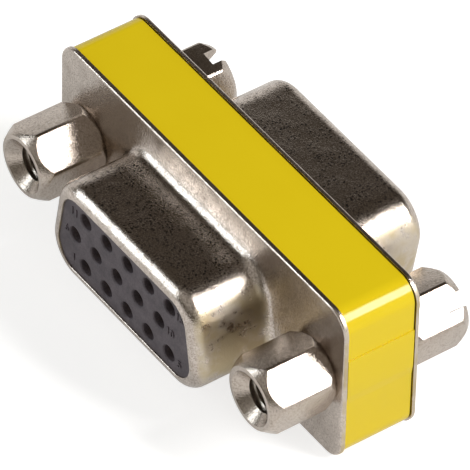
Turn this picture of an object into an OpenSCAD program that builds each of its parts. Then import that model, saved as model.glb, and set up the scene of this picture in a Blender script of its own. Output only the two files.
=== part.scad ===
// Gender changer for high-density 15-way D-sub plugs: a socket on each side of a thin body.
// Millimetres. X runs along the connector, -Y is the front socket, Z is up.
// The origin is at the middle of the base line, on the surface that the flanges stand on.

/* [Contact grid] */
// Number of contacts in a row
columns = 5; // [4:1:5]
// Distance between contacts in a row
pitch = 2.29; // [2.2:0.01:2.4]
// Distance between rows
row_pitch = 1.98; // [1.9:0.01:2.1]

/* [Shrouds] */
// From an end contact to the wide side of a shroud
shroud_side = 3.585; // [3.3:0.005:3.8]
// From an outer row to the outside of a shroud
shroud_top = 1.97; // [1.85:0.01:2.1]
// Length of a shroud, from the flange face
shroud_l = 5.8; // [5:0.05:7]
// Lean of the two short sides
side_angle = 10; // [6:1:12]
// Corner radius of a shroud
shroud_r = 2.6; // [2.2:0.1:3]
// Radius of the flare at the foot of a shroud
foot_r = 0.8; // [0.5:0.1:1]
// Radius of the rolled-in lip
lip_r = 0.9; // [0.6:0.05:1]

/* [Flanges] */
// From the side of a shroud to a fastener axis
screw_room = 4.33; // [4.2:0.01:4.6]
// From a fastener axis to the end of the flange
flange_end = 2.905; // [2.4:0.005:4]
// From a shroud to the long edge of its flange
flange_rim = 2.3; // [1.5:0.05:3]
// Corner radius of a flange
flange_r = 1.6; // [0.6:0.1:2]
// Thickness of the shell sheet
sheet_t = 0.32; // [0.3:0.01:0.5]
// Depth of the body, from one flange face to the other
body_d = 5.75; // [5.2:0.05:8]

/* [Contacts] */
// Outer diameter of a contact barrel
barrel_d = 1.3; // [1.1:0.05:1.4]
// Bore of a contact barrel, closed onto a 0.76 mm pin
barrel_bore = 0.74; // [0.7:0.02:0.8]
// Thickness of the contact strip
strip_t = 0.25; // [0.15:0.05:0.3]
// Width of the contact strip
strip_w = 0.6; // [0.4:0.05:0.7]
// Diameter of a pin entry hole
entry_d = 1.15; // [0.9:0.05:1.2]

/* [Insulators] */
// Depth of the insulator face behind the lip
face_recess = 0.13; // [0.05:0.01:0.4]
// Thickness of the insulator wall in front of a barrel
face_t = 0.6; // [0.4:0.05:1]
// Depth of the crossing chamber in each half
chamber_d = 1.1; // [0.9:0.05:1.3]
// Distance from the chamber to the foot of a barrel
barrel_seat = 0.3; // [0.2:0.05:0.6]
// Length of the slit between the two tines of a barrel
grip_l = 3.2; // [2:0.1:4]
// Width of that slit
grip_slit = 0.15; // [0.1:0.05:0.3]

/* [Label] */
// Thickness of the label film
film_t = 0.1; // [0.05:0.01:0.15]
// Depth of the label surface inside the flange edge
label_inset = 0.12; // [0.02:0.01:0.3]
// Width of the strip of block left bare on each side of the label
label_gap = 0.1; // [0:0.01:0.4]
// Height of the seam below the top of the label
seam_drop = 3.6; // [2:0.05:5]
// Length of the lap at the seam
lap_l = 3; // [1:0.1:4]

/* [Fasteners] */
// Width across the flats of the hexagons
hex_af = 4.75; // [4.5:0.05:5]
// Length of a front nut
nut_l = 4.95; // [4:0.05:6]
// Length of a jackscrew head
head_l = 4.4; // [4:0.05:6]
// Diameter that the corners of the hexagons are turned down to
hex_corner_d = 5.3; // [5.1:0.05:5.5]
// Diameter of the free end face of a hexagon
hex_end_d = 4.4; // [4:0.05:4.7]
// Diameter of the seat of a hexagon on the flange
hex_seat_d = 4.55; // [4:0.05:4.7]
// Chamfer angle of both ends, from the end face
chamfer_angle = 56; // [30:1:65]
// Outer diameter of the screw thread
thread_d = 2.84; // [2.8:0.01:2.9]
// Inner diameter of the tapped thread
tap_d = 2.26; // [2.15:0.01:2.4]
// Length of stud that is screwed into the front nut
engaged_l = 1.8; // [1:0.1:2.2]
// Thickness of solid metal below the tapped hole of a jackscrew head
tap_floor = 0.6; // [0.4:0.1:1]
// Width of the driver slot
slot_w = 1.05; // [0.8:0.05:1.4]
// Depth of the left and the right driver slot
slot_depths = [1.05, 1.4]; // [0.6:0.05:1.6]
// Turn of the left and the right front nut
nut_turns = [19, 16]; // [0:1:60]
// Turn of the left and the right jackscrew head
head_turns = [53, 16]; // [0:1:60]
// Direction of the left and the right driver slot
slot_turns = [80, 47]; // [0:1:180]

/* [Hidden] */
$fn = 64;
SIDES = ["left", "right"];
CONTACTS = 3 * columns;

// Each size grows out of the one before: grid, shroud, fastener axes, flange
shroud_w = (columns - 1) * pitch + 2 * shroud_side;
shroud_h = 2 * row_pitch + 2 * shroud_top;
screw_spacing = shroud_w + 2 * screw_room;
flange_w = screw_spacing + 2 * flange_end;
flange_h = shroud_h + 2 * flange_rim;
mid_h = flange_h / 2;
half_d = body_d / 2;
plate_back = half_d - sheet_t;
shroud_end = half_d + shroud_l;
face_z = shroud_end - face_recess;

// How far a cutting shape reaches past the face that it opens
cut = 0.5;
// How far solids that are one piece run into each other
seam_lap = 0.2;

// Clearances between pieces that are slid together
fit_gap = 0.05;
barrel_gap = 0.05;
stud_gap = 0.15;
thread_gap = 0.02;
end_gap = 0.1;

// The D outline is its four corner centres, grown by a radius
corner_y = shroud_h / 2 - shroud_r;
wide_x = shroud_w / 2 - shroud_r;
narrow_x = wide_x - 2 * corner_y * tan(side_angle);
d_centres = [[wide_x, -corner_y], [narrow_x, corner_y], [-narrow_x, corner_y], [-wide_x, -corner_y]];
// Directions that the four sides face: below, right, above, left and below again
d_normals = [-90, side_angle, 90, 180 - side_angle, 270];
corner_steps = 10;
bend_steps = 6;

// The outer rows are half a pitch off the middle row
outer_row_x = 0.27;
middle_row_x = outer_row_x - pitch / 2;
cavity_d = barrel_d + 2 * barrel_gap;
barrel_end = face_z - face_t - fit_gap;
barrel_root = chamber_d + barrel_seat;
countersink = 0.08;
chamber_w = 2 * (abs(middle_row_x) + (columns - 1) / 2 * pitch + barrel_d);
chamber_h = 2 * row_pitch + barrel_d;

// The block lies inside the label, and the label inside the flange edge
block_inset = label_inset + film_t;
hex_r = hex_af / sqrt(3);
stud_hole_d = thread_d + 2 * stud_gap;
mouth_margin = 0.96;
tap_mouth_d = thread_d + mouth_margin;

function contact_name(n) = str("contact_", n < 10 ? "0" : "", n);
// Pin number to row and column: 1 to 5 are in the wide row, 6 to 10 in the middle one
function row_of(n) = floor((n - 1) / columns) - 1;
function column_x(n) = ((n - 1) % columns - (columns - 1) / 2) * pitch;
function contact_x(n) = column_x(n) + (row_of(n) == 0 ? middle_row_x : outer_row_x);
function contact_y(n) = row_of(n) * row_pitch;
function side_x(i) = (i == 0 ? -1 : 1) * screw_spacing / 2;

// Sockets are drawn lying on the mid plane, with z pointing out of the mouth
module at_front() {
    translate([0, 0, mid_h]) rotate([90, 0, 0]) children();
}

// The rear half is the front half, turned half a turn about the long axis
module at_rear() {
    translate([0, 0, mid_h]) rotate([-90, 0, 0]) children();
}

// Points of an arc round a centre, from one angle to another
function arc(centre, radius, from, to, steps) = [
    for (k = [0:steps]) let (a = from + (to - from) * k / steps) centre + radius * [cos(a), sin(a)]
];

// Outline of the D at a distance from its corner centres, anticlockwise from the lower right corner
function d_outline(distance) = [
    for (i = [0:3]) each arc(d_centres[i], distance, d_normals[i], d_normals[i + 1], corner_steps)
];

// Closed skin that carries a section round the D: x is the distance from the centres, y is the height
module skin(section) {
    around = len(d_outline(1));
    rings = len(section);
    points = [for (s = section, p = d_outline(s.x)) [p.x, p.y, s.y]];
    faces = [
        for (r = [0:rings - 1], k = [0:around - 1])
            let (r2 = (r + 1) % rings, k2 = (k + 1) % around)
            each [
                [r * around + k, r2 * around + k, r2 * around + k2],
                [r * around + k, r2 * around + k2, r * around + k2]
            ]
    ];
    polyhedron(points, faces);
}

// Outline of a rectangle with round corners
module round_rectangle(width, height, radius) {
    square([width - 2 * radius, height], center = true);
    square([width, height - 2 * radius], center = true);
    for (x = [-1, 1], y = [-1, 1])
        translate([x * (width / 2 - radius), y * (height / 2 - radius)]) circle(radius);
}

// Outline that lies inside the flange edge by a given depth
module inside_flange(inset) {
    round_rectangle(flange_w - 2 * inset, flange_h - 2 * inset, flange_r - inset);
}

module stud_holes(diameter, low, high) {
    for (i = [0, 1]) translate([side_x(i), 0, low]) cylinder(d = diameter, h = high - low);
}

// Section of the drawn wall: flared foot, straight wall and rolled-in lip
function wall_section() =
    let (
        foot = [shroud_r + foot_r, half_d + foot_r],
        lip = [shroud_r - lip_r, shroud_end - lip_r]
    )
    concat(
        [[foot.x + seam_lap, half_d]],
        arc(foot, foot_r, 270, 180, bend_steps),
        arc(lip, lip_r, 0, 90, bend_steps),
        arc(lip, lip_r - sheet_t, 90, 0, bend_steps),
        arc(foot, foot_r + sheet_t, 180, 270, bend_steps),
        [[foot.x + seam_lap, plate_back]]
    );

// Drawn steel shell: flange and shroud are one sheet
module shell() {
    color("silver") {
        difference() {
            translate([0, 0, plate_back]) linear_extrude(sheet_t) inside_flange(0);
            translate([0, 0, plate_back - cut]) linear_extrude(sheet_t + 2 * cut)
                polygon(d_outline(shroud_r + foot_r));
            stud_holes(stud_hole_d, plate_back - cut, half_d + cut);
        }
        skin(wall_section());
    }
}

// One contact cavity: the barrel chamber, the narrow pin entry and its lead-in
module cavity() {
    rotate_extrude() polygon([
        [0, -cut],
        [cavity_d / 2, -cut],
        [cavity_d / 2, face_z - face_t],
        [entry_d / 2, face_z - face_t],
        [entry_d / 2, face_z - countersink],
        [entry_d / 2 + countersink + cut, face_z + cut],
        [0, face_z + cut]
    ]);
}

// Moulded half body: block, nose and raised face, with its cavities and half the chamber
module insulator() {
    nose = shroud_r - sheet_t - fit_gap;
    raised = shroud_r - lip_r - fit_gap;
    color("dimgray") difference() {
        union() {
            linear_extrude(plate_back) inside_flange(block_inset);
            translate([0, 0, chamber_d]) linear_extrude(shroud_end - lip_r - chamber_d)
                polygon(d_outline(nose));
            translate([0, 0, chamber_d]) linear_extrude(face_z - chamber_d) polygon(d_outline(raised));
        }
        for (n = [1:CONTACTS]) translate([contact_x(n), contact_y(n), 0]) cavity();
        translate([-chamber_w / 2, -chamber_h / 2, -cut]) cube([chamber_w, chamber_h, chamber_d + cut]);
        stud_holes(stud_hole_d, -cut, plate_back + cut);
    }
}

// Rolled barrel with two spring tines, standing on the strip
module barrel() {
    difference() {
        translate([0, 0, barrel_root]) cylinder(d = barrel_d, h = barrel_end - barrel_root);
        translate([0, 0, barrel_root + strip_t]) cylinder(d = barrel_bore, h = barrel_end);
        translate([-grip_slit / 2, -barrel_d, barrel_end - grip_l])
            cube([grip_slit, 2 * barrel_d, grip_l + strip_t]);
    }
}

// Strip of an outer contact: down from one barrel, across the mid plane and up to the other
module crossing_strip() {
    bend = barrel_root - strip_w;
    points = [
        [row_pitch + strip_w / 2, -barrel_root - strip_t],
        [row_pitch - strip_w / 2, -barrel_root - strip_t],
        [row_pitch - strip_w / 2, -bend],
        [-row_pitch - strip_w / 2, bend - strip_w / 2],
        [-row_pitch - strip_w / 2, barrel_root + strip_t],
        [-row_pitch + strip_w / 2, barrel_root + strip_t],
        [-row_pitch + strip_w / 2, bend],
        [row_pitch + strip_w / 2, -bend + strip_w / 2]
    ];
    // The edges of the strip stay inside the round of the barrel
    face_x = sqrt(pow(barrel_d / 2, 2) - pow(strip_w / 2, 2));
    translate([face_x - strip_t, 0, 0]) rotate([90, 0, 90]) linear_extrude(strip_t) polygon(points);
}

// Double-ended contact, one of fifteen, drawn about the mid plane
module contact(n) {
    outer = row_of(n) != 0;
    color("goldenrod") at_front() translate([contact_x(n), 0, 0]) {
        translate([0, contact_y(n), 0]) barrel();
        rotate([180, 0, 0]) translate([0, contact_y(n), 0]) barrel();
        if (outer) rotate([0, 0, row_of(n) < 0 ? 0 : 180]) crossing_strip();
        else translate([-strip_w / 2, -strip_t / 2, -barrel_root - strip_t])
            cube([strip_w, strip_t, 2 * (barrel_root + strip_t)]);
    }
}

// Vinyl strip wound once round the block, with a lap at the seam
module label() {
    seam_z = flange_h - label_inset - seam_drop;
    edge_y = plate_back - label_gap;
    film_x = flange_w / 2 - label_inset;
    color("gold") {
        translate([0, edge_y, mid_h]) rotate([90, 0, 0]) linear_extrude(2 * edge_y) difference() {
            inside_flange(label_inset);
            inside_flange(block_inset);
        }
        translate([film_x, -edge_y, seam_z - lap_l]) cube([film_t, 2 * edge_y, lap_l]);
    }
}

// Hexagon bar cut to length, with its corners turned down and both ends chamfered
module hex_bar(length, turn) {
    corner = hex_corner_d / 2;
    seat = hex_seat_d / 2;
    end = hex_end_d / 2;
    slope = tan(chamfer_angle);
    intersection() {
        rotate([0, 0, turn]) cylinder(r = hex_r, h = length, $fn = 6);
        rotate_extrude() polygon([
            [0, 0],
            [seat, 0],
            [corner, (corner - seat) * slope],
            [corner, length - (corner - end) * slope],
            [end, length],
            [0, length]
        ]);
    }
}

// Tapped hole below an end face, with a countersunk mouth
module tapped_hole(top, depth) {
    mouth = (tap_mouth_d - tap_d) / 2;
    translate([0, 0, top - depth]) cylinder(d = tap_d, h = depth);
    translate([0, 0, top - mouth]) cylinder(d1 = tap_d, d2 = tap_mouth_d, h = mouth);
}

// Front nut: tapped from the front, and holding the end of the stud behind
module front_nut(i) {
    color("gainsboro") at_front() translate([side_x(i), 0, half_d]) difference() {
        hex_bar(nut_l, nut_turns[i]);
        tapped_hole(nut_l, nut_l);
        cylinder(d = thread_d + 2 * thread_gap, h = engaged_l + end_gap);
    }
}

// Rear jackscrew: slotted and tapped head, and a stud that reaches through to the front nut
module jackscrew(i) {
    color("gainsboro") translate([side_x(i), 0, mid_h]) rotate([-90, 0, 0]) {
        translate([0, 0, half_d]) difference() {
            hex_bar(head_l, -head_turns[i]);
            tapped_hole(head_l, head_l - tap_floor);
            rotate([0, 0, -slot_turns[i]]) translate([-hex_af, -slot_w / 2, head_l - slot_depths[i]])
                cube([2 * hex_af, slot_w, slot_depths[i]]);
        }
        translate([0, 0, -half_d - engaged_l])
            cylinder(d = thread_d, h = engaged_l + body_d + seam_lap);
    }
}

at_front() shell();  // front_shell
at_rear() shell();  // rear_shell
at_front() insulator();  // front_insulator
at_rear() insulator();  // rear_insulator
for (n = [1:CONTACTS])
    contact(n);
label();
for (i = [0, 1]) {
    front_nut(i);
    jackscrew(i);
}
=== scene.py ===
import math

import bmesh
import bpy
from mathutils import Matrix, Vector


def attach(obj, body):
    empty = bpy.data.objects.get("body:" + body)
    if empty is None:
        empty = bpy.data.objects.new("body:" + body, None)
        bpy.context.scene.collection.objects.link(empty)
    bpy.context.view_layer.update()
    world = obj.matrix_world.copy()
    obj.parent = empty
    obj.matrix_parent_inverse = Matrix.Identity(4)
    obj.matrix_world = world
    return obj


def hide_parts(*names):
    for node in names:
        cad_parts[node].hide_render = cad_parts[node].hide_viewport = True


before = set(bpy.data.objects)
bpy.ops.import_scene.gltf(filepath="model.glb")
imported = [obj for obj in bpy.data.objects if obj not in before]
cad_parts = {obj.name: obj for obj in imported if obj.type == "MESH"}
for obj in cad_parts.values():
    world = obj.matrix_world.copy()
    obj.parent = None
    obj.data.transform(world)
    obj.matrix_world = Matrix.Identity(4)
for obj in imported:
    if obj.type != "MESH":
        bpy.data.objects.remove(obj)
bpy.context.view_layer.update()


# Shells
# Two equal pressings, front and rear. Each is one sheet of steel, deep-drawn into a flange and a
# D-shaped shroud with a flared foot and a rolled-in lip, blanked, pierced and nickel-plated.
MID_H = 6.25
HALF_D = 2.875
SHEET_T = 0.32
PLATE_BACK = HALF_D - SHEET_T
SHROUD_END = 8.675
SHROUD_R = 2.6
FOOT_R = 0.8
RUN_OUT = 20
RUN_OUT_R = 3.2
LIP_R = 0.9
FLANGE_R = 1.6
BLANKED_R = 0.14
CUT_R = 0.06
CORNER_X, CORNER_Z = 13.8, 4.65
FLAT_RIM = 0.15
SCREW_X = 12.495
STUD_HOLE_R = 1.57
STUD_HOLE_STEPS = 48
ARC_STEP = 9
CORNER_STEPS = 14
CREASE = 28
MERGE_DISTANCE = 1e-4
SAME_PLACE = 1e-5
LEAN = 10
D_HALF_H = 1.35
D_WIDE_X, D_NARROW_X = 5.565, 5.0889
D_CORNERS = [((D_WIDE_X, -D_HALF_H), 90 + LEAN), ((D_NARROW_X, D_HALF_H), 90 - LEAN),
             ((-D_NARROW_X, D_HALF_H), 90 - LEAN), ((-D_WIDE_X, -D_HALF_H), 90 + LEAN)]
FLANGE_CORNERS = [((CORNER_X, -CORNER_Z), 90), ((CORNER_X, CORNER_Z), 90), ((-CORNER_X, CORNER_Z), 90),
                  ((-CORNER_X, -CORNER_Z), 90)]

# Each half is drawn in millimetres, lying on the mid plane with z out of its socket
METRES = Matrix.Scale(0.001, 4)
FRONT = METRES @ Matrix.Translation((0, 0, MID_H)) @ Matrix.Rotation(math.radians(90), 4, "X")
REAR = METRES @ Matrix.Translation((0, 0, MID_H)) @ Matrix.Rotation(math.radians(-90), 4, "X")


def draw(bm, corner, start, *moves):
    """Draws a chain of edges below a corner. Points are (distance, height); a third item makes an
    arc about that point, in degrees."""
    def place(distance, height):
        return Vector((corner[0], corner[1] - distance, height))

    before = set(bm.verts) | set(bm.edges)
    tip = bm.verts.new(place(*start))
    for move in moves:
        if len(move) == 3:
            steps = max(2, round(abs(move[2]) / ARC_STEP))
            arc = bmesh.ops.spin(bm, geom=[tip], cent=place(*move[:2]), axis=(1, 0, 0),
                                 angle=math.radians(move[2]), steps=steps)
            tip = arc["geom_last"][0]
        else:
            tip = bmesh.ops.extrude_vert_indiv(bm, verts=[tip])["verts"][0]
            tip.co = place(*move)
    return [part for part in (*bm.verts, *bm.edges) if part not in before]


def outline_only(parts):
    """The vertices in parts, and the edges that lie between them."""
    points = {p for p in parts if isinstance(p, bmesh.types.BMVert)}
    edges = [p for p in parts if isinstance(p, bmesh.types.BMEdge)]
    return list(points) + [e for e in edges if set(e.verts) <= points]


def pull(bm, section, step):
    """Pulls a section along a straight line."""
    edges = [p for p in section if isinstance(p, bmesh.types.BMEdge)]
    grown = bmesh.ops.extrude_edge_only(bm, edges=edges)
    section = outline_only(grown["geom"])
    bmesh.ops.translate(bm, vec=step, verts=[p for p in section if isinstance(p, bmesh.types.BMVert)])
    return section


def turn(bm, section, centre, degrees, steps):
    """Turns a section round a corner."""
    spun = bmesh.ops.spin(bm, geom=section, cent=(*centre, 0), axis=(0, 0, 1),
                          angle=math.radians(degrees), steps=steps)
    return outline_only(spun["geom_last"])


def carry_round(bm, section, corners):
    """Carries a section once round an outline of corners."""
    for k, (centre, degrees) in enumerate(corners):
        section = turn(bm, section, centre, degrees, CORNER_STEPS)
        ahead = Vector(corners[(k + 1) % len(corners)][0]) - Vector(centre)
        section = pull(bm, section, (*ahead, 0))


def revolve(bm, section, centre=(0, 0), steps=96):
    """Turns a section all the way round an axis."""
    bmesh.ops.spin(bm, geom=section, cent=(*centre, 0), axis=(0, 0, 1), angle=math.radians(360),
                   steps=steps, use_merge=True)


def close(bm):
    """Joins what meets, and turns the faces outwards."""
    bmesh.ops.remove_doubles(bm, verts=bm.verts[:], dist=MERGE_DISTANCE)
    bmesh.ops.recalc_face_normals(bm, faces=bm.faces[:])


def make(bm, name, place, material, stands_for):
    """Puts a finished piece in its place in the part."""
    close(bm)
    bmesh.ops.transform(bm, matrix=place, verts=bm.verts[:])
    for face in bm.faces:
        face.smooth = True
    for edge in bm.edges:
        edge.smooth = edge.calc_face_angle(0) < math.radians(CREASE)
    mesh = bpy.data.meshes.new(name)
    bm.to_mesh(mesh)
    bm.free()
    mesh.materials.append(material)
    piece = bpy.data.objects.new(name, mesh)
    bpy.context.scene.collection.objects.link(piece)
    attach(piece, "root")
    if stands_for:
        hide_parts(stands_for)


def linear(hex_code):
    """An sRGB hex colour as linear light."""
    parts = [int(hex_code[k:k + 2], 16) / 255 for k in (0, 2, 4)]
    return [p / 12.92 if p <= 0.04045 else ((p + 0.055) / 1.055) ** 2.4 for p in parts] + [1.0]


def add(tree, kind, inputs=None, **settings):
    """Adds a node. An input is a value, or another node's output."""
    node = tree.nodes.new("ShaderNode" + kind)
    for key, value in settings.items():
        setattr(node, key, value)
    for key, value in (inputs or {}).items():
        if isinstance(value, bpy.types.NodeSocket):
            tree.links.new(value, node.inputs[key])
        else:
            node.inputs[key].default_value = value
    return node


def blank_material(name):
    """A material with only its output, and that output."""
    material = bpy.data.materials.new(name)
    material.use_nodes = True
    material.node_tree.nodes.clear()
    return material, material.node_tree, add(material.node_tree, "OutputMaterial")


# Bright nickel on deep-drawn steel: a warm grey mirror with the grain of the rolled sheet, drawn
# coarser than it is, at 0.12 mm, so that it shows. The flats of the shrouds are pitted where the
# sheet was stretched. Plugs have scuffed their two ends dull. An olive-brown painted reflection of
# the flange lies in patches on the two ends. Each Scale is one over the size of a patch in metres.
drawn_nickel, tree, output = blank_material("nickel_plated_drawn_steel")
where = add(tree, "TexCoord").outputs["Object"]
ripple = add(tree, "TexNoise", {"Vector": where, "Scale": 1 / 0.0022, "Detail": 3.0, "Roughness": 0.55})
cloud = add(tree, "TexNoise", {"Vector": where, "Scale": 1 / 0.0011, "Detail": 6.0, "Roughness": 0.7})
grain = add(tree, "TexNoise", {"Vector": where, "Scale": 1 / 0.00012, "Detail": 3.0, "Roughness": 0.7})
rolled = add(tree, "TexNoise", {
    "Vector": add(tree, "Mapping", {"Vector": where, "Scale": (1.0, 1.0, 0.1)}).outputs[0],
    "Scale": 1 / 0.00016, "Detail": 3.0, "Roughness": 0.7})
pits = add(tree, "TexVoronoi", {"Vector": where, "Scale": 1 / 0.0002, "Randomness": 1.0})
pit = add(tree, "MapRange", {"Value": pits.outputs["Distance"], "From Min": 0.2, "From Max": 0.42,
                             "To Min": 1.0, "To Max": 0.0})
cluster = add(tree, "MapRange", {"Value": cloud.outputs["Fac"], "From Min": 0.44, "From Max": 0.54})
spot = add(tree, "SeparateXYZ", {0: where})
outwards = add(tree, "Math", {0: spot.outputs["Y"]}, operation="ABSOLUTE")
drawn = add(tree, "MapRange", {"Value": outwards.outputs[0], "From Min": HALF_D / 1000,
                               "From Max": (HALF_D + FOOT_R) / 1000})
facing = add(tree, "SeparateXYZ", {0: add(tree, "TexCoord").outputs["Normal"]})
sideways = add(tree, "Math", {0: facing.outputs["X"]}, operation="ABSOLUTE")
end = add(tree, "MapRange", {"Value": sideways.outputs[0], "From Min": 0.6, "From Max": 0.9})
upwards = add(tree, "Math", {0: facing.outputs["Z"]}, operation="ABSOLUTE")
flank = add(tree, "MapRange", {"Value": upwards.outputs[0], "From Min": 0.85, "From Max": 0.97})
wear = add(tree, "MapRange", {"Value": cloud.outputs["Fac"], "From Min": 0.34, "From Max": 0.52})
scuff = add(tree, "Math", {0: end.outputs["Result"], 1: wear.outputs["Result"]}, operation="MULTIPLY")
speck = add(tree, "Math", {0: pit.outputs["Result"], 1: cluster.outputs["Result"]}, operation="MULTIPLY")
flats = add(tree, "Math", {0: drawn.outputs["Result"], 1: flank.outputs["Result"]}, operation="MULTIPLY")
pitted = add(tree, "Math", {0: speck.outputs[0], 1: flats.outputs[0]}, operation="MULTIPLY")
patchy = add(tree, "MapRange", {"Value": cloud.outputs["Fac"], "From Min": 0.34, "From Max": 0.66})
grainy = add(tree, "MapRange", {"Value": grain.outputs["Fac"], "From Min": 0.34, "From Max": 0.56})
plate = add(tree, "Mix", {"Factor": patchy.outputs["Result"], "A": linear("DAD0C7"),
                          "B": linear("BEB3A9")}, data_type="RGBA")
dulled = add(tree, "Mix", {"Factor": grainy.outputs["Result"], "A": linear("A0948A"),
                           "B": plate.outputs[2]}, data_type="RGBA")
worn = add(tree, "Mix", {"Factor": scuff.outputs[0], "A": dulled.outputs[2], "B": linear("CFC5B5")},
           data_type="RGBA")
# Painted reflection: olive-brown patches on the two ends stand in for the flange reflected there
reflection_patches = add(tree, "MapRange", {"Value": ripple.outputs["Fac"], "From Min": 0.44, "From Max": 0.6,
                                 "To Max": 0.6})
painted_reflection = add(tree, "Math", {0: reflection_patches.outputs["Result"], 1: end.outputs["Result"]},
              operation="MULTIPLY")
with_painted_reflection = add(tree, "Mix", {"Factor": painted_reflection.outputs[0], "A": worn.outputs[2], "B": linear("B8A577")},
              data_type="RGBA")
tone = add(tree, "Mix", {"Factor": pitted.outputs[0], "A": with_painted_reflection.outputs[2], "B": linear("241F1A")},
           data_type="RGBA")
haze = add(tree, "MapRange", {"Value": cloud.outputs["Fac"], "From Min": 0.3, "From Max": 0.7,
                              "To Min": 0.09, "To Max": 0.27})
rough = add(tree, "Mix", {"Factor": scuff.outputs[0], "A": haze.outputs["Result"], "B": 0.46})
wave = add(tree, "Bump", {"Height": ripple.outputs["Fac"], "Strength": 0.5, "Distance": 0.00012})
sheet = add(tree, "Bump", {"Height": rolled.outputs["Fac"], "Strength": 0.35, "Distance": 0.00003,
                           "Normal": wave.outputs[0]})
skin = add(tree, "Bump", {"Height": grain.outputs["Fac"], "Strength": 0.5, "Distance": 0.00003,
                          "Normal": sheet.outputs[0]})
shader = add(tree, "BsdfPrincipled", {"Base Color": tone.outputs[2], "Metallic": 1.0,
                                      "Roughness": rough.outputs[0], "Normal": skin.outputs[0]})
tree.links.new(shader.outputs[0], output.inputs["Surface"])


def fill_flat(bm, height):
    """Fills the flat of a pressing between its rims."""
    rim = [e for e in bm.edges
           if e.is_boundary and all(abs(v.co.z - height) < SAME_PLACE for v in e.verts)]
    bmesh.ops.triangle_fill(bm, use_beauty=True, edges=rim)


for name, place in (("front_shell", FRONT), ("rear_shell", REAR)):
    bm = bmesh.new()
    bend = math.radians(RUN_OUT)
    foot = (SHROUD_R + FOOT_R, HALF_D + FOOT_R * math.cos(bend) + RUN_OUT_R * (1 - math.cos(bend)))
    run_out = (foot[0] + (RUN_OUT_R - FOOT_R) * math.sin(bend), HALF_D + RUN_OUT_R)
    lip = (SHROUD_R - LIP_R, SHROUD_END - LIP_R)
    wall = draw(
        bm, D_CORNERS[0][0],
        (run_out[0] + FLAT_RIM, HALF_D),
        (run_out[0], HALF_D),
        (*run_out, RUN_OUT),
        (*foot, 90 - RUN_OUT),
        (SHROUD_R, lip[1]),
        (*lip, -90),
        (lip[0], SHROUD_END - CUT_R, -90),
        (lip[0] - CUT_R, SHROUD_END - SHEET_T + CUT_R),
        (lip[0], SHROUD_END - SHEET_T + CUT_R, -90),
        (*lip, 90),
        (SHROUD_R - SHEET_T, foot[1]),
        (*foot, RUN_OUT - 90),
        (*run_out, -RUN_OUT),
        (run_out[0] + FLAT_RIM, PLATE_BACK),
    )
    carry_round(bm, wall, D_CORNERS)
    flat = FLANGE_R - BLANKED_R
    edge = draw(
        bm, FLANGE_CORNERS[0][0],
        (flat - FLAT_RIM, HALF_D),
        (flat, HALF_D),
        (flat, HALF_D - BLANKED_R, 90),
        (FLANGE_R, PLATE_BACK),
        (flat - FLAT_RIM, PLATE_BACK),
    )
    carry_round(bm, edge, FLANGE_CORNERS)
    for x in (-SCREW_X, SCREW_X):
        hole = draw(bm, (x, 0), (STUD_HOLE_R, HALF_D), (STUD_HOLE_R, PLATE_BACK))
        revolve(bm, hole, (x, 0), STUD_HOLE_STEPS)
    bmesh.ops.remove_doubles(bm, verts=bm.verts[:], dist=MERGE_DISTANCE)
    fill_flat(bm, HALF_D)
    fill_flat(bm, PLATE_BACK)
    make(bm, name + "_pressing", place, drawn_nickel, name)


# Insulators
# Two equal halves of the body, moulded in dark grey glass-filled polyester. Each is a block with a
# D-shaped nose that fills its shroud, with fifteen pin entries and the numbers of the end pins
# raised on its face. The two meet back to back.
PIN_FACE_IN = 0.13
PIN_FACE = SHROUD_END - PIN_FACE_IN
ROW = 1.98
NUMBER_H = 0.85
NUMBER_T = 0.14
END_NUMBERS = {"1": (-5.55, -ROW), "5": (6.05, -ROW), "6": (-6.35, 0),
               "10": (5.0, 0), "11": (-5.5, ROW), "15": (6.0, ROW)}

# A matt grey with the clouds of the melt's flow, and the speckle of glass fibres near the skin,
# drawn coarser than it is, at 0.13 mm, so that it shows
moulded_grey, tree, output = blank_material("moulded_glass_filled_polyester")
where = add(tree, "TexCoord").outputs["Object"]
flow = add(tree, "TexNoise", {"Vector": where, "Scale": 1 / 0.0014, "Detail": 5.0, "Roughness": 0.6})
fibre = add(tree, "TexNoise", {"Vector": where, "Scale": 1 / 0.00013, "Detail": 3.0, "Roughness": 0.7})
mixed = add(tree, "Math", {0: flow.outputs["Fac"], 1: fibre.outputs["Fac"]}, operation="MULTIPLY")
cloudy = add(tree, "MapRange", {"Value": mixed.outputs[0], "From Min": 0.15, "From Max": 0.37})
tint = add(tree, "Mix", {"Factor": cloudy.outputs["Result"], "A": linear("463F44"),
                         "B": linear("685F64")}, data_type="RGBA")
skin = add(tree, "MapRange", {"Value": fibre.outputs["Fac"], "To Min": 0.5, "To Max": 0.72})
texture = add(tree, "Bump", {"Height": fibre.outputs["Fac"], "Strength": 0.4, "Distance": 0.00002})
shader = add(tree, "BsdfPrincipled", {"Base Color": tint.outputs[2], "Roughness": skin.outputs["Result"],
                                      "IOR": 1.52, "Normal": texture.outputs[0]})
tree.links.new(shader.outputs[0], output.inputs["Surface"])

for name in ("front_insulator", "rear_insulator"):
    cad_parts[name].data.materials.clear()
    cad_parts[name].data.materials.append(moulded_grey)

for name, place in (("front_insulator", FRONT), ("rear_insulator", REAR)):
    bm = bmesh.new()
    for number, (x, y) in END_NUMBERS.items():
        curve = bpy.data.curves.new("number", "FONT")
        curve.body = number
        curve.size = NUMBER_H
        curve.extrude = NUMBER_T / 2
        curve.align_x, curve.align_y = "CENTER", "CENTER"
        text = bpy.data.objects.new("number", curve)
        text.location = (x, y, PIN_FACE)
        bpy.context.scene.collection.objects.link(text)
        bpy.context.view_layer.update()
        ready = text.evaluated_get(bpy.context.evaluated_depsgraph_get())
        mesh = bpy.data.meshes.new_from_object(ready)
        mesh.transform(text.matrix_world)
        bm.from_mesh(mesh)
        bpy.data.meshes.remove(mesh)
        bpy.data.curves.remove(curve)
    make(bm, name + "_numbers", place, moulded_grey, None)


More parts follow.
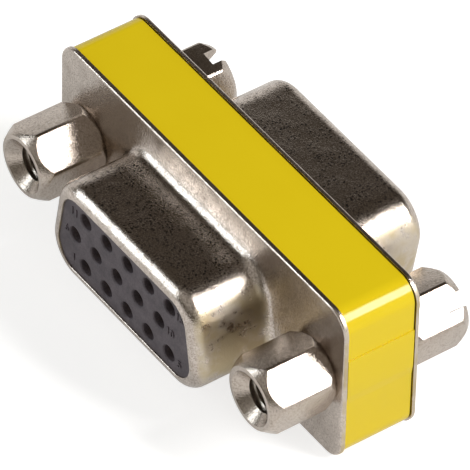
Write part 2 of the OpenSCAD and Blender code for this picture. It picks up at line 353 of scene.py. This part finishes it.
# Contacts
# Fifteen strips of phosphor bronze, rolled at both ends into a split barrel that grips a pin, with
# a flash of gold. They lie in the two insulators, and only their mouths show down the pin entries.

# Thin gold over bronze: a warm mirror, rubbed in patches to a browner one
gold_flash, tree, output = blank_material("gold_flash_on_phosphor_bronze")
where = add(tree, "TexCoord").outputs["Object"]
thin = add(tree, "TexNoise", {"Vector": where, "Scale": 1 / 0.0005, "Detail": 4.0, "Roughness": 0.6})
tint = add(tree, "Mix", {"Factor": thin.outputs["Fac"], "A": linear("D9B36A"), "B": linear("B58A4C")},
           data_type="RGBA")
rubbed = add(tree, "MapRange", {"Value": thin.outputs["Fac"], "To Min": 0.2, "To Max": 0.4})
shader = add(tree, "BsdfPrincipled", {"Base Color": tint.outputs[2], "Metallic": 1.0,
                                      "Roughness": rubbed.outputs["Result"]})
tree.links.new(shader.outputs[0], output.inputs["Surface"])
for number in range(1, 16):
    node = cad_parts[f"contact_{number:02d}"]
    node.data.materials.clear()
    node.data.materials.append(gold_flash)


# Label
# One strip of yellow vinyl film, wound once round the block between the flanges and stuck down.
# Its end laps over its beginning on the right end of the block.
FILM_T = 0.1
FILM_IN = 0.12
FILM_R = FLANGE_R - FILM_IN
FILM_GAP = 0.04
FILM_HALF_W = PLATE_BACK - FILM_GAP
FILM_EDGE = 0.03
SEAM_Y = 2.53
LAP_L = 3.0
RAMP_L = 0.8
RAMP_BEND = 0.2
RAMP_EASE = 0.02
LAP_GAP = 0.005
FILM_STEPS = 12

# A strong warm yellow under a clear gloss. The film sags a little over the block and has a faint peel
glossy_vinyl, tree, output = blank_material("calendered_yellow_vinyl")
where = add(tree, "TexCoord").outputs["Object"]
lie = add(tree, "TexNoise", {"Vector": where, "Scale": 1 / 0.006, "Detail": 2.0, "Roughness": 0.5})
peel = add(tree, "TexNoise", {"Vector": where, "Scale": 1 / 0.0007, "Detail": 2.0, "Roughness": 0.5})
tint = add(tree, "Mix", {"Factor": lie.outputs["Fac"], "A": linear("DFC51A"), "B": linear("DABF15")},
           data_type="RGBA")
sag = add(tree, "Bump", {"Height": lie.outputs["Fac"], "Strength": 0.3, "Distance": 0.00008})
relief = add(tree, "Bump", {"Height": peel.outputs["Fac"], "Strength": 0.15, "Distance": 0.00001,
                            "Normal": sag.outputs[0]})
shader = add(tree, "BsdfPrincipled", {"Base Color": tint.outputs[2], "Roughness": 0.15, "IOR": 1.46,
                                      "Specular IOR Level": 0.3, "Normal": relief.outputs[0]})
tree.links.new(shader.outputs[0], output.inputs["Surface"])

bm = bmesh.new()
film = draw(
    bm, FLANGE_CORNERS[0][0],
    (FILM_R - FILM_T, -FILM_HALF_W),
    (FILM_R - FILM_EDGE, -FILM_HALF_W),
    (FILM_R, -FILM_HALF_W + FILM_EDGE),
    (FILM_R, FILM_HALF_W - FILM_EDGE),
    (FILM_R - FILM_EDGE, FILM_HALF_W),
    (FILM_R - FILM_T, FILM_HALF_W),
)
ends = [v for v in bm.verts if abs(v.co.y + CORNER_Z + FILM_R - FILM_T) < SAME_PLACE]
film.append(bm.edges.new(ends))
points = [p for p in film if isinstance(p, bmesh.types.BMVert)]
bmesh.ops.rotate(bm, verts=points, cent=(*FLANGE_CORNERS[0][0], 0),
                 matrix=Matrix.Rotation(math.radians(90), 3, "Z"))

# It starts part way up the right end, goes over, down and under, and ramps over its own beginning
bmesh.ops.translate(bm, verts=points, vec=(0, SEAM_Y - LAP_L + CORNER_Z, 0))
film = pull(bm, film, (0, CORNER_Z - SEAM_Y + LAP_L, 0))
for k in (1, 2, 3, 0):
    film = turn(bm, film, FLANGE_CORNERS[k][0], 90, FILM_STEPS)
    if k:
        ahead = Vector(FLANGE_CORNERS[(k + 1) % 4][0]) - Vector(FLANGE_CORNERS[k][0])
        film = pull(bm, film, (*ahead, 0))
film = pull(bm, film, (0, CORNER_Z + SEAM_Y - LAP_L - RAMP_L, 0))
film = pull(bm, film, (RAMP_EASE, RAMP_BEND * RAMP_L, 0))
film = pull(bm, film, (FILM_T + LAP_GAP - 2 * RAMP_EASE, (1 - 2 * RAMP_BEND) * RAMP_L, 0))
film = pull(bm, film, (RAMP_EASE, RAMP_BEND * RAMP_L, 0))
film = pull(bm, film, (0, LAP_L, 0))
bmesh.ops.holes_fill(bm, edges=[e for e in bm.edges if e.is_boundary])
make(bm, "label_film", FRONT, glossy_vinyl, "label")


# Fasteners
# Hexagon brass bar, turned at both ends, tapped and nickel-plated. The front nuts are tapped right
# through. The rear jackscrews are slotted, and their studs hold the whole stack to the front nuts.
HEX_AF = 4.75
HEX_CORNER_R = 2.69
HEX_SEAT_R = 2.275
HEX_END_R = 2.2
CHAMFER = math.tan(math.radians(56))
NUT_L = 4.95
HEAD_L = 4.4
TAP_R = 1.13
THREAD_R = 1.42
THREAD_PITCH = 0.635
THREAD_STEPS = 40
MOUTH_R = 1.9
CONE_TIP_R = 0.6
PAST = 0.3
STUD_GAP = 0.02
SLOT_W = 1.05
TAP_DEPTH = 3.8
ENGAGED_L = 1.8
BORE_OVERLAP = 0.1
BROKEN_EDGE = 0.04
SHARP = 20
TURNING_STRETCH = 0.04

# A tooth of the thread, in shares of its pitch: where it leaves the root, and its crest's two ends
TOOTH_ROOT, CREST_START, CREST_END = 0.25, 0.56, 0.69

# The same bright nickel over brass: each flat is a mirror, with turning marks round the screw's axis
# and a grain that is drawn coarser than it is, at 0.12 mm, so that it shows
turned_nickel, tree, output = blank_material("nickel_plated_turned_brass")
where = add(tree, "TexCoord").outputs["Object"]
spot = add(tree, "SeparateXYZ", {0: where})
sideways = add(tree, "Math", {0: spot.outputs["X"]}, operation="ABSOLUTE")
across = add(tree, "Math", {0: sideways.outputs[0], 1: SCREW_X / 1000}, operation="SUBTRACT")
above = add(tree, "Math", {0: spot.outputs["Z"], 1: MID_H / 1000}, operation="SUBTRACT")
arm = add(tree, "CombineXYZ", {0: across.outputs[0], 1: above.outputs[0]})
radius = add(tree, "VectorMath", {0: arm.outputs[0]}, operation="LENGTH")
along = add(tree, "Math", {0: spot.outputs["Y"], 1: TURNING_STRETCH}, operation="MULTIPLY")
turning = add(tree, "CombineXYZ", {0: radius.outputs["Value"], 1: along.outputs[0]})
lines = add(tree, "TexNoise", {"Vector": turning.outputs[0], "Scale": 1 / 0.00011, "Detail": 3.0,
                               "Roughness": 0.6})
cloud = add(tree, "TexNoise", {"Vector": where, "Scale": 1 / 0.0008, "Detail": 5.0, "Roughness": 0.65})
grain = add(tree, "TexNoise", {"Vector": where, "Scale": 1 / 0.00012, "Detail": 3.0, "Roughness": 0.7})
plate = add(tree, "Mix", {"Factor": cloud.outputs["Fac"], "A": linear("CEC3B9"), "B": linear("B3A89D")},
            data_type="RGBA")
grainy = add(tree, "MapRange", {"Value": grain.outputs["Fac"], "From Min": 0.32, "From Max": 0.52})
tint = add(tree, "Mix", {"Factor": grainy.outputs["Result"], "A": linear("9B9086"),
                         "B": plate.outputs[2]}, data_type="RGBA")
haze = add(tree, "MapRange", {"Value": cloud.outputs["Fac"], "From Min": 0.3, "From Max": 0.7,
                              "To Min": 0.13, "To Max": 0.27})
turned = add(tree, "Bump", {"Height": lines.outputs["Fac"], "Strength": 0.5, "Distance": 0.000012})
relief = add(tree, "Bump", {"Height": grain.outputs["Fac"], "Strength": 0.6, "Distance": 0.00003,
                            "Normal": turned.outputs[0]})
shader = add(tree, "BsdfPrincipled", {"Base Color": tint.outputs[2], "Metallic": 1.0,
                                      "Roughness": haze.outputs["Result"], "Normal": relief.outputs[0]})
tree.links.new(shader.outputs[0], output.inputs["Surface"])


def hexagon(length, degrees):
    """Round bar with turned ends, milled to six flats. Degrees turn its corners."""
    bm = bmesh.new()
    revolve(bm, draw(
        bm, (0, 0),
        (0, 0),
        (HEX_SEAT_R, 0),
        (HEX_CORNER_R, (HEX_CORNER_R - HEX_SEAT_R) * CHAMFER),
        (HEX_CORNER_R, length - (HEX_CORNER_R - HEX_END_R) * CHAMFER),
        (HEX_END_R, length),
        (0, length),
    ))
    close(bm)
    for k in range(6):
        angle = math.radians(degrees + 30 + 60 * k)
        facing = Vector((math.cos(angle), math.sin(angle), 0))
        milled = bmesh.ops.bisect_plane(bm, geom=bm.verts[:] + bm.edges[:] + bm.faces[:], dist=1e-6,
                                        plane_co=facing * HEX_AF / 2, plane_no=facing, clear_outer=True)
        rim = [p for p in milled["geom_cut"] if isinstance(p, bmesh.types.BMEdge)]
        bmesh.ops.contextual_create(bm, geom=rim)
    return bm


def soften(bm):
    """Breaks the sharp edges, as tumbling before the plating does."""
    sharp = [e for e in bm.edges if e.calc_face_angle(0) > math.radians(SHARP)]
    bmesh.ops.bevel(bm, geom=sharp, offset=BROKEN_EDGE, segments=2, profile=0.5,
                    affect="EDGES", material=-1)
    return bm


def thread(low, high, minor_r, major_r):
    """The room that a screw thread takes, from one height to another."""
    bm = bmesh.new()
    p = THREAD_PITCH
    start = low - p
    turns = math.ceil((high - start) / p) + 1
    tooth = draw(
        bm, (0, 0),
        (minor_r, start),
        (minor_r, start + p * TOOTH_ROOT),
        (major_r, start + p * CREST_START),
        (major_r, start + p * CREST_END),
        (minor_r, start + p),
    )
    bmesh.ops.spin(bm, geom=tooth, cent=(0, 0, 0), axis=(0, 0, 1), dvec=(0, 0, p / THREAD_STEPS),
                   angle=math.radians(360 * turns), steps=THREAD_STEPS * turns)
    bmesh.ops.remove_doubles(bm, verts=bm.verts[:], dist=MERGE_DISTANCE)
    for height, outwards in ((low, -1), (high, 1)):
        bmesh.ops.bisect_plane(bm, geom=bm.verts[:] + bm.edges[:] + bm.faces[:], dist=1e-6,
                               plane_co=(0, 0, height), plane_no=(0, 0, outwards), clear_outer=True)
    bmesh.ops.holes_fill(bm, edges=[e for e in bm.edges if e.is_boundary])
    close(bm)
    return bm


def countersink(top):
    """The cone that opens the mouth of a tapped hole."""
    bm = bmesh.new()
    tip = top - MOUTH_R + CONE_TIP_R
    revolve(bm, draw(
        bm, (0, 0),
        (0, tip),
        (CONE_TIP_R, tip),
        (MOUTH_R + PAST, top + PAST),
        (0, top + PAST),
    ))
    close(bm)
    return bm


def cut_by(bm, *cutters, operation="DIFFERENCE"):
    """Cuts shapes out of a piece, or joins them to it, and gives the piece back."""
    solids = []
    for shape in (bm, *cutters):
        mesh = bpy.data.meshes.new("scratch")
        shape.to_mesh(mesh)
        shape.free()
        solids.append(bpy.data.objects.new("scratch", mesh))
        bpy.context.scene.collection.objects.link(solids[-1])
    for cutter in solids[1:]:
        step = solids[0].modifiers.new("cut", "BOOLEAN")
        step.operation = operation
        step.solver = "EXACT"
        step.object = cutter
    result = bmesh.new()
    result.from_object(solids[0], bpy.context.evaluated_depsgraph_get())
    for solid in solids:
        bpy.data.meshes.remove(solid.data)
    return result


def slot(length, depth, degrees):
    """The straight groove across the end of a jackscrew."""
    bm = bmesh.new()
    bmesh.ops.create_cube(bm, size=1)
    bmesh.ops.scale(bm, vec=(HEX_AF * 2, SLOT_W, depth * 2), verts=bm.verts[:])
    bmesh.ops.rotate(bm, cent=(0, 0, 0), matrix=Matrix.Rotation(math.radians(degrees), 3, "Z"),
                     verts=bm.verts[:])
    bmesh.ops.translate(bm, vec=(0, 0, length), verts=bm.verts[:])
    return bm


def bore(radius, low, high):
    """A plain round hole."""
    bm = bmesh.new()
    revolve(bm, draw(bm, (0, 0), (0, low), (radius, low), (radius, high), (0, high)))
    close(bm)
    return bm


# Side, place, and how far the hexagon is turned, in degrees
NUTS = (("left", -SCREW_X, 19), ("right", SCREW_X, 16))

for side, x, degrees in NUTS:
    bm = cut_by(
        soften(hexagon(NUT_L, degrees)),
        bore(THREAD_R + STUD_GAP, -PAST, ENGAGED_L + BORE_OVERLAP),
        thread(ENGAGED_L, NUT_L + PAST, TAP_R, THREAD_R),
        countersink(NUT_L),
    )
    seat = Matrix.Translation((x, 0, HALF_D))
    make(bm, f"front_nut_{side}_tapped", FRONT @ seat, turned_nickel,
         f"front_nut_{side}")

# Side, place, turn of the hexagon, and the depth and the turn of the slot
JACKSCREWS = (("left", -SCREW_X, 53, 1.05, 80), ("right", SCREW_X, 16, 1.4, 47))

for side, x, degrees, depth, groove in JACKSCREWS:
    bm = cut_by(
        soften(hexagon(HEAD_L, -degrees)),
        thread(HEAD_L - TAP_DEPTH, HEAD_L + PAST, TAP_R, THREAD_R),
        countersink(HEAD_L),
        slot(HEAD_L, depth, -groove),
    )
    bm = cut_by(bm, thread(-2 * HALF_D - ENGAGED_L, PAST, TAP_R, THREAD_R), operation="UNION")
    seat = Matrix.Translation((x, 0, HALF_D))
    make(bm, f"rear_jackscrew_{side}_slotted", REAR @ seat, turned_nickel,
         f"rear_jackscrew_{side}")


# Studio
# A pale matt board to stand on, a large softbox behind on the right and a weaker one in front on the
# left. The room is bright low down behind and at the sides, dim low in front, and dim overhead,
# darkest behind. Sizes are in metres.
AIM_H = 0.006
BOARD_GLOW = 0.68
BOARD_IN_MIRRORS = 0.5

# Matt board, faintly mottled. It glows, so that it comes out nearly white and keeps a faint shadow
board, tree, output = blank_material("pale_matt_board")
where = add(tree, "TexCoord").outputs["Object"]
mottle = add(tree, "TexNoise", {"Vector": where, "Scale": 60.0, "Detail": 3.0})
tint = add(tree, "Mix", {"Factor": mottle.outputs["Fac"], "A": linear("CBCBCA"), "B": linear("D0D0CF")},
           data_type="RGBA")
matt = add(tree, "BsdfDiffuse", {"Color": tint.outputs[2]})
rays = add(tree, "LightPath")
seen = add(tree, "Math", {0: rays.outputs["Is Glossy Ray"], 1: BOARD_IN_MIRRORS,
                          2: rays.outputs["Is Camera Ray"]}, operation="MULTIPLY_ADD")
shown = add(tree, "Math", {0: seen.outputs[0], 1: rays.outputs["Is Transmission Ray"]},
            operation="MAXIMUM")
strength = add(tree, "Math", {0: shown.outputs[0], 1: BOARD_GLOW}, operation="MULTIPLY")
glow = add(tree, "Emission", {"Color": (1, 1, 1, 1), "Strength": strength.outputs[0]})
both = add(tree, "AddShader", {0: matt.outputs[0], 1: glow.outputs[0]})
tree.links.new(both.outputs[0], output.inputs["Surface"])

bm = bmesh.new()
bmesh.ops.create_circle(bm, cap_ends=True, segments=96, radius=3.0)
mesh = bpy.data.meshes.new("floor")
bm.to_mesh(mesh)
bm.free()
mesh.materials.append(board)
floor = bpy.data.objects.new("floor", mesh)
bpy.context.scene.collection.objects.link(floor)

world = bpy.data.worlds.new("studio")
bpy.context.scene.world = world
world.use_nodes = True
tree = world.node_tree
tree.nodes.clear()
output = add(tree, "OutputWorld")
direction = add(tree, "SeparateXYZ", {0: add(tree, "TexCoord").outputs["Generated"]})
height = add(tree, "MapRange", {"Value": direction.outputs["Z"], "From Min": 0.28, "From Max": 0.54},
             interpolation_type="SMOOTHSTEP")
away = add(tree, "Math", {0: direction.outputs["Y"], 1: direction.outputs["X"]}, operation="SUBTRACT")
behind = add(tree, "MapRange", {"Value": away.outputs[0], "From Min": -0.5, "From Max": 0.6},
             interpolation_type="SMOOTHSTEP")
ceiling = add(tree, "Mix", {"Factor": behind.outputs["Result"], "A": (0.40, 0.38, 0.35, 1.0),
                            "B": (0.066, 0.055, 0.043, 1.0)}, data_type="RGBA")
front = add(tree, "MapRange", {"Value": direction.outputs["Y"], "From Min": -0.5, "From Max": -0.1},
            interpolation_type="SMOOTHSTEP")
surround = add(tree, "Mix", {"Factor": front.outputs["Result"], "A": (0.16, 0.145, 0.12, 1.0),
                             "B": (0.88, 0.87, 0.85, 1.0)}, data_type="RGBA")
shade = add(tree, "Mix", {"Factor": height.outputs["Result"], "A": surround.outputs[2],
                          "B": ceiling.outputs[2]}, data_type="RGBA")
sky = add(tree, "Background", {"Color": shade.outputs[2], "Strength": 1.0})
tree.links.new(sky.outputs[0], output.inputs["Surface"])


def softbox(name, direction, distance, size, long_side, power, colour):
    """A softbox that faces the part. Its height lies along its long side."""
    lamp = bpy.data.lights.new(name, "AREA")
    lamp.shape = "RECTANGLE"
    lamp.size, lamp.size_y = size
    lamp.energy = power
    lamp.color = colour
    box = bpy.data.objects.new(name, lamp)
    bpy.context.scene.collection.objects.link(box)
    towards = Vector(direction).normalized()
    box.location = Vector((0, 0, AIM_H)) + towards * distance
    across = Vector(long_side).cross(towards).normalized()
    box.rotation_mode = "QUATERNION"
    axes = Matrix((across, towards.cross(across), towards)).transposed()
    box.rotation_quaternion = axes.to_quaternion()
    box.visible_camera = False


softbox("key_softbox", direction=(0.63, 0.42, 0.65), distance=0.5, size=(0.12, 0.28),
        long_side=(-0.73, 0, 0.68), power=2.3, colour=(1.0, 0.98, 0.97))
softbox("front_softbox", direction=(-0.58, -0.71, 0.39), distance=0.6, size=(0.14, 0.46),
        long_side=(0, 0.52, 0.85), power=1.04, colour=(0.86, 0.94, 1.0))


# Camera
# It stands in front, to the right and above, at the photograph's angle, with a long lens.
AZIMUTH, ELEVATION, ROLL = 53.94, 44.0, 1.33
DISTANCE = 0.45
PIXELS_PER_MM = 15.932
PHOTO_W = 470
SENSOR = 36
LENS = PIXELS_PER_MM * (DISTANCE * 1000) / PHOTO_W * SENSOR
OFFSET_RIGHT, OFFSET_UP = 0.000108, 0.000188

azimuth, elevation, roll = (math.radians(a) for a in (AZIMUTH, ELEVATION, ROLL))
back = Vector((math.sin(azimuth) * math.cos(elevation), -math.cos(azimuth) * math.cos(elevation),
               math.sin(elevation)))
level = (-back).cross(Vector((0, 0, 1))).normalized()
upright = level.cross(-back)
right = math.cos(roll) * level + math.sin(roll) * upright
up = math.cos(roll) * upright - math.sin(roll) * level
camera = bpy.data.objects.new("camera", bpy.data.cameras.new("camera"))
bpy.context.scene.collection.objects.link(camera)
camera.data.lens = LENS
camera.data.sensor_width = SENSOR
camera.data.clip_start, camera.data.clip_end = 0.01, 20
eye = Vector((0, 0, MID_H / 1000)) + back * DISTANCE - right * OFFSET_RIGHT - up * OFFSET_UP
camera.matrix_world = Matrix.Translation(eye) @ Matrix((right, up, back)).transposed().to_4x4()
bpy.context.scene.camera = camera
bpy.context.scene.view_settings.view_transform = "Standard"
